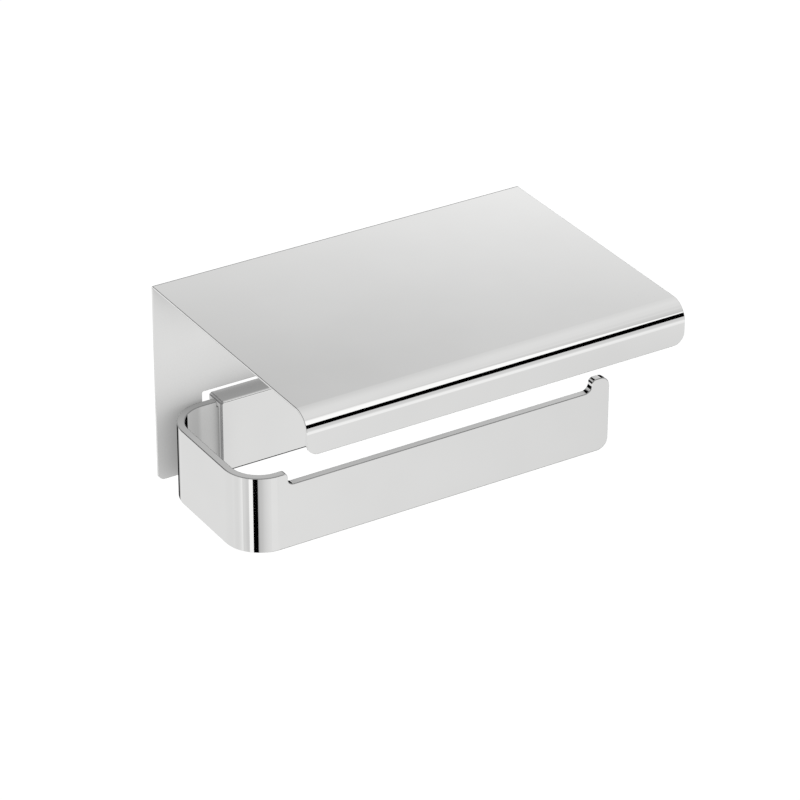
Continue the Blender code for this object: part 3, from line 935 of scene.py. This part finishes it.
def make_wood_screw(node, materials):
    low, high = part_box(node)
    radius, length = (high.x - low.x) / 2, high.y - low.y
    start = WOOD_HEAD + WOOD_PLAIN
    rows = head_rows(radius, WOOD_HEAD)
    rows += [(WOOD_CORE + 0.3 * MM, WOOD_HEAD), (WOOD_CORE, WOOD_HEAD + 0.3 * MM)]
    tip = {"tip": WOOD_TIP, "point": WOOD_POINT, "steps": 16}
    rows += thread_rows(start, length, WOOD_CORE, WOOD_CREST, WOOD_PITCH, WOOD_RIDGE, **tip)
    screw = lathe("wood_screw", rows)
    carve(screw, [cross_recess("cross recess", *WOOD_RECESS)])
    stand_at(screw, node, low.y)
    shade(screw)
    finish_piece(screw, node, "zinc_plated", materials["zinc"])


def make_clamp_screw(node, materials):
    """Its head is on the wall side, so it is made the other way and turned round."""
    low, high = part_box(node)
    radius, length = (high.x - low.x) / 2, high.y - low.y
    core, crest = CLAMP_SCREW_CORE, CLAMP_SCREW_CREST
    rows = head_rows(radius, CLAMP_HEAD)
    rows.append((core, CLAMP_HEAD))
    rows += thread_rows(CLAMP_HEAD, length, core, crest, CLAMP_SCREW_PITCH, 1.0)[1:]
    screw = lathe("clamp_screw", rows)
    carve(screw, [cross_recess("cross recess", *CLAMP_SCREW_RECESS)])
    stand_at(screw, node, high.y, (180, "Z"))
    shade(screw)
    finish_piece(screw, node, "zinc_plated", materials["zinc"])


def make_set_screw(materials):
    """Made along +Y and stood on end, so that its point is up."""
    low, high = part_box("set_screw")
    length = high.z - low.z
    cone = length - SET_SCREW_CONE
    rows = thread_rows(0, cone, SET_SCREW_CORE, SET_SCREW_CREST, SET_SCREW_PITCH, 1.0)
    rows.append((SET_SCREW_POINT, length))
    screw = lathe("set_screw_body", rows)
    key = circle((0, 0), SET_SCREW_KEY / math.sqrt(3), 6)
    carve(screw, [prism("hex socket", key, "Y", -PAST, SET_SCREW_SOCKET)])
    place = ((low.x + high.x) / 2, (low.y + high.y) / 2, low.z)
    screw.matrix_world = Matrix.Translation(place) @ Matrix.Rotation(math.radians(90), 4, "X")
    shade(screw)
    finish_piece(screw, "set_screw", "stainless_steel", materials["steel"])


def make_washer(node, materials):
    """Its shoulder centres the screw in the panel's oversize hole."""
    low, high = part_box(node)
    radius, deep = (high.x - low.x) / 2, high.y - low.y
    rows = [(SCREW_HOLE, 0)]
    for i in range(6):
        turn = math.radians(90 * i / 5)
        inward = WASHER_ROUND * (1 - math.sin(turn))
        rows.append((radius - inward, WASHER_ROUND * (1 - math.cos(turn))))
    rows += [(radius, WASHER_THICK), (WASHER_SHOULDER, WASHER_THICK)]
    rows += [(WASHER_SHOULDER, deep), (SCREW_HOLE, deep)]
    washer = lathe("plastic_washer", rows, hollow=True)
    stand_at(washer, node, low.y)
    shade(washer)
    finish_piece(washer, node, "nylon_white", materials["white"])


def make_plug(node, materials):
    """A ribbed sleeve, slit from part of the way down to its far end."""
    low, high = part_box(node)
    radius, length = (high.x - low.x) / 2, high.y - low.y
    step = (length - PLUG_MOUTH) / PLUG_RIBS
    rows = [(SCREW_HOLE, 0), (radius - 0.2 * MM, 0), (radius, 0.2 * MM), (radius, PLUG_MOUTH)]
    for i in range(PLUG_RIBS):
        start = PLUG_MOUTH + i * step
        rows.append((PLUG_CORE, start + 0.15 * step))
        rows.append((radius - 0.05 * MM, start + 0.9 * step))
        rows.append((radius, start + 0.95 * step))
    rows += [(PLUG_CORE, length), (SCREW_HOLE, length)]
    plug = lathe("ribbed_plug", rows, hollow=True)
    slit = rectangle((-PLUG_SLIT / 2, -2 * radius), (PLUG_SLIT / 2, 2 * radius))
    carve(plug, [prism("slit", slit, "Y", PLUG_SLIT_START, length + PAST)])
    stand_at(plug, node, low.y)
    shade(plug)
    finish_piece(plug, node, "nylon_grey", materials["grey"])


def make_clamp_plate(materials):
    low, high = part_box("arm_clamp_plate")
    outline = rounded_rectangle((low.x, low.z), (high.x, high.z), CLAMP_CORNER)
    plate = prism("clamp_sheet", outline, "Y", low.y, high.y)
    tools = []
    for name in ("left", "right"):
        hole = circle(middle_of(f"arm_screw_{name}"), BOSS_BORE)
        tools.append(prism("screw hole", hole, "Y", low.y - PAST, high.y + PAST))
    carve(plate, tools)
    round_edges(plate, PLATE_ROUND)
    finish_piece(plate, "arm_clamp_plate", "zinc_plated", materials["zinc"])


def bracket_section(low, high):
    """Section of the bracket in (y, z): a channel that opens away from the wall."""
    inner = BRACKET_BEND - BRACKET_SHEET
    upper = (high.y - BRACKET_BEND, high.z - BRACKET_BEND)
    lower = (high.y - BRACKET_BEND, low.z + BRACKET_BEND)
    outline = [(low.y, low.z)]
    outline += arc(lower, BRACKET_BEND, 270, 360, 12)
    outline += arc(upper, BRACKET_BEND, 0, 90, 12)
    outline += [(low.y, high.z), (low.y, high.z - BRACKET_SHEET)]
    outline += arc(upper, inner, 90, 0, 8)
    outline += arc(lower, inner, 360, 270, 8)
    outline.append((low.y, low.z + BRACKET_SHEET))
    return outline


def make_wall_bracket(materials):
    low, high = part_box("wall_bracket")
    bracket = prism("bracket_sheet", bracket_section(low, high), "X", low.x, high.x)
    tools = []
    for name in ("left", "right"):
        hole = circle(middle_of(f"bracket_screw_{name}"), BRACKET_HOLE)
        tools.append(prism("screw hole", hole, "Y", high.y - BRACKET_SHEET - PAST, high.y + PAST))
    set_low, set_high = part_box("set_screw")
    seat = circle(((set_low.x + set_high.x) / 2, (set_low.y + set_high.y) / 2), SET_SCREW_SEAT)
    tools.append(prism("seat", seat, "Z", low.z - PAST, low.z + BRACKET_SHEET + PAST))
    carve(bracket, tools)
    round_edges(bracket, BRACKET_ROUND)
    finish_piece(bracket, "wall_bracket", "zinc_plated", materials["zinc"])


def make_fixings(materials):
    make_clamp_plate(materials)
    make_wall_bracket(materials)
    make_set_screw(materials)
    for side in ("left", "right"):
        make_clamp_screw(f"arm_screw_{side}", materials)
        make_wood_screw(f"bracket_screw_{side}", materials)
        make_plug(f"bracket_plug_{side}", materials)
        make_wood_screw(f"shelf_screw_{side}", materials)
        make_plug(f"shelf_plug_{side}", materials)
        make_washer(f"shelf_washer_{side}", materials)


# ---------------------------------------------------------------- studio and camera


def direction(heading, elevation):
    """A unit vector; heading is in degrees from +Y towards +X."""
    h, e = math.radians(heading), math.radians(elevation)
    return Vector((math.sin(h) * math.cos(e), math.cos(h) * math.cos(e), math.sin(e)))


def glow_material():
    """Shines with the strength kept in each point of the mesh."""
    material, nodes, links = new_material("studio_panel")
    nodes.remove(nodes["Principled BSDF"])
    level = nodes.new("ShaderNodeAttribute")
    level.attribute_name = "level"
    glow = nodes.new("ShaderNodeEmission")
    links.new(level.outputs["Fac"], glow.inputs["Strength"])
    links.new(glow.outputs["Emission"], nodes["Material Output"].inputs["Surface"])
    material.cycles.emission_sampling = "NONE"
    return material


def light_sheet(name, rows, material, radius):
    """A mesh round the holder, seen only in reflections.

    rows hold (direction, level) pairs; a row of None breaks the sheet.
    """
    built = bmesh.new()
    level = built.verts.layers.float.new("level")
    made = []
    for row in rows:
        if row is None:
            made.append(None)
            continue
        line = []
        for place, strength in row:
            vertex = built.verts.new(place * radius)
            vertex[level] = strength
            line.append(vertex)
        made.append(line)
    for one, two in zip(made, made[1:]):
        if one is None or two is None:
            continue
        for a, b, c, d in zip(one, two, two[1:], one[1:]):
            built.faces.new((a, b, c, d))
    obj = new_object(name, built)
    obj.data.materials.append(material)
    for ray in ("camera", "diffuse", "transmission", "volume_scatter", "shadow"):
        setattr(obj, f"visible_{ray}", False)


def panel(name, headings, elevations, material, stops):
    """A lamp or a dark flag.

    stops are (angle, level) pairs: along the heading if headings is None, else along the elevation.
    """
    rows = []
    low, high = elevations if headings is None else headings
    count = max(1, round(abs(high - low) / 2))
    for (start, first), (end, last) in zip(stops, stops[1:]):
        if start == end:
            rows.append(None)
            continue
        steps = max(1, round(abs(end - start) / 2))
        for i in range(steps + 1):
            along = start + (end - start) * i / steps
            strength = first + (last - first) * i / steps
            across = [low + (high - low) * j / count for j in range(count + 1)]
            places = [direction(along, a) if headings is None else direction(a, along) for a in across]
            rows.append([(place, strength) for place in places])
        rows.append(None)
    light_sheet(name, rows, material, STUDIO_RADIUS)


def make_sky(material):
    """What the shelf's top and its front bend show of the room: darker low down and at the left."""
    left, right, steps = SKY_SIDES
    rows = []
    for tilt, middle, slope in SKY:
        t = math.radians(tilt)
        row = []
        for i in range(steps + 1):
            side = left + (right - left) * i / steps
            rest = math.sqrt(1 - side * side)
            place = Vector((side, rest * math.cos(t), rest * math.sin(t)))
            row.append((place, middle * math.exp(slope * (side - SKY_MIDDLE))))
        rows.append(row)
    light_sheet("sky", rows, material, SKY_RADIUS)


def room_curve(nodes, links, height):
    """Brightness by elevation, from the height of a direction's end."""
    rise = nodes.new("ShaderNodeMath")
    rise.operation = "ARCSINE"
    links.new(height, rise.inputs[0])
    share = nodes.new("ShaderNodeMapRange")
    share.inputs["From Min"].default_value = -math.pi / 2
    share.inputs["From Max"].default_value = math.pi / 2
    links.new(rise.outputs["Value"], share.inputs["Value"])
    curve = nodes.new("ShaderNodeFloatCurve")
    points = curve.mapping.curves[0].points
    points[0].location = (0, ROOM_LEVELS[0][1] / BRIGHTEST)
    points[1].location = (1, ROOM_LEVELS[-1][1] / BRIGHTEST)
    for elevation, level in ROOM_LEVELS[1:]:
        points.new((elevation + 90) / 180, level / BRIGHTEST)
    for point in points:
        point.handle_type = "VECTOR"
    curve.mapping.update()
    links.new(share.outputs["Result"], curve.inputs["Value"])
    return times(nodes, links, curve.outputs["Value"], BRIGHTEST)


def soft_region(nodes, links, towards, region):
    """A factor that changes softly towards one direction of the room."""
    heading, elevation, inner, outer, inside, outside = region
    dot = nodes.new("ShaderNodeVectorMath")
    dot.operation = "DOT_PRODUCT"
    dot.inputs[1].default_value = direction(heading, elevation)
    links.new(towards, dot.inputs[0])
    factor = nodes.new("ShaderNodeMapRange")
    factor.inputs["From Min"].default_value = math.cos(math.radians(outer))
    factor.inputs["From Max"].default_value = math.cos(math.radians(inner))
    factor.inputs["To Min"].default_value = outside
    factor.inputs["To Max"].default_value = inside
    links.new(dot.outputs["Value"], factor.inputs["Value"])
    return factor.outputs["Result"]


def make_world():
    """A pale room: plain white to the camera and to matt surfaces, softly banded in reflections."""
    world = bpy.data.worlds.new("studio")
    bpy.context.scene.world = world
    world.use_nodes = True
    world.cycles.sampling_method = "NONE"
    nodes, links = world.node_tree.nodes, world.node_tree.links
    towards = nodes.new("ShaderNodeTexCoord").outputs["Generated"]
    split = nodes.new("ShaderNodeSeparateXYZ")
    links.new(towards, split.inputs["Vector"])
    level = room_curve(nodes, links, split.outputs["Z"])
    for region in ROOM_REGIONS:
        level = times(nodes, links, level, soft_region(nodes, links, towards, region))
    path = nodes.new("ShaderNodeLightPath")
    choose = nodes.new("ShaderNodeMix")
    choose.inputs["A"].default_value = PLAIN_LEVEL
    links.new(path.outputs["Is Glossy Ray"], choose.inputs["Factor"])
    links.new(level, choose.inputs["B"])
    links.new(choose.outputs["Result"], nodes["Background"].inputs["Strength"])
    nodes["Background"].inputs["Color"].default_value = (1, 1, 1, 1)


def make_floor():
    material, nodes, links = new_material("pale_floor")
    shader = nodes["Principled BSDF"]
    shader.inputs["Base Color"].default_value = (1, 1, 1, 1)
    shader.inputs["Roughness"].default_value = 1.0
    shader.inputs["Specular IOR Level"].default_value = 0.0
    built = bmesh.new()
    bmesh.ops.create_grid(built, x_segments=1, y_segments=1, size=FLOOR_SIZE / 2)
    floor = new_object("floor", built)
    floor.location.z = -FLOOR_DROP
    floor.data.materials.append(material)
    floor.visible_glossy = False


def make_panels():
    glow = glow_material()
    make_sky(glow)
    panel("front lamp", FRONT_HEADINGS, None, glow, FRONT_LAMP)
    panel("left wall", None, LEFT_ELEVATIONS, glow, LEFT_WALL)
    for name, headings, (low, high), level in FLAGS:
        panel(name, headings, None, glow, ((low, level), (high, level)))
    panel("rear shade", None, REAR_ELEVATIONS, glow, REAR_SHADE)


def make_camera():
    data = bpy.data.cameras.new("camera")
    data.lens = CAMERA_LENS
    camera = bpy.data.objects.new("camera", data)
    bpy.context.scene.collection.objects.link(camera)
    turn = Matrix.Rotation(math.radians(CAMERA_AZIMUTH), 4, "Z")
    tilt = Matrix.Rotation(math.radians(90 - CAMERA_ELEVATION), 4, "X")
    roll = Matrix.Rotation(math.radians(CAMERA_ROLL), 4, "Z")
    camera.matrix_world = Matrix.Translation(CAMERA_PLACE) @ turn @ tilt @ roll
    bpy.context.scene.camera = camera
    bpy.context.scene.view_settings.view_transform = "Standard"


materials = {key: surface(*values) for key, values in SURFACES.items()}
make_shelf_panel(materials)
make_roll_arm(materials)
make_mount_housing(materials)
make_fixings(materials)
make_world()
make_floor()
make_panels()
make_camera()
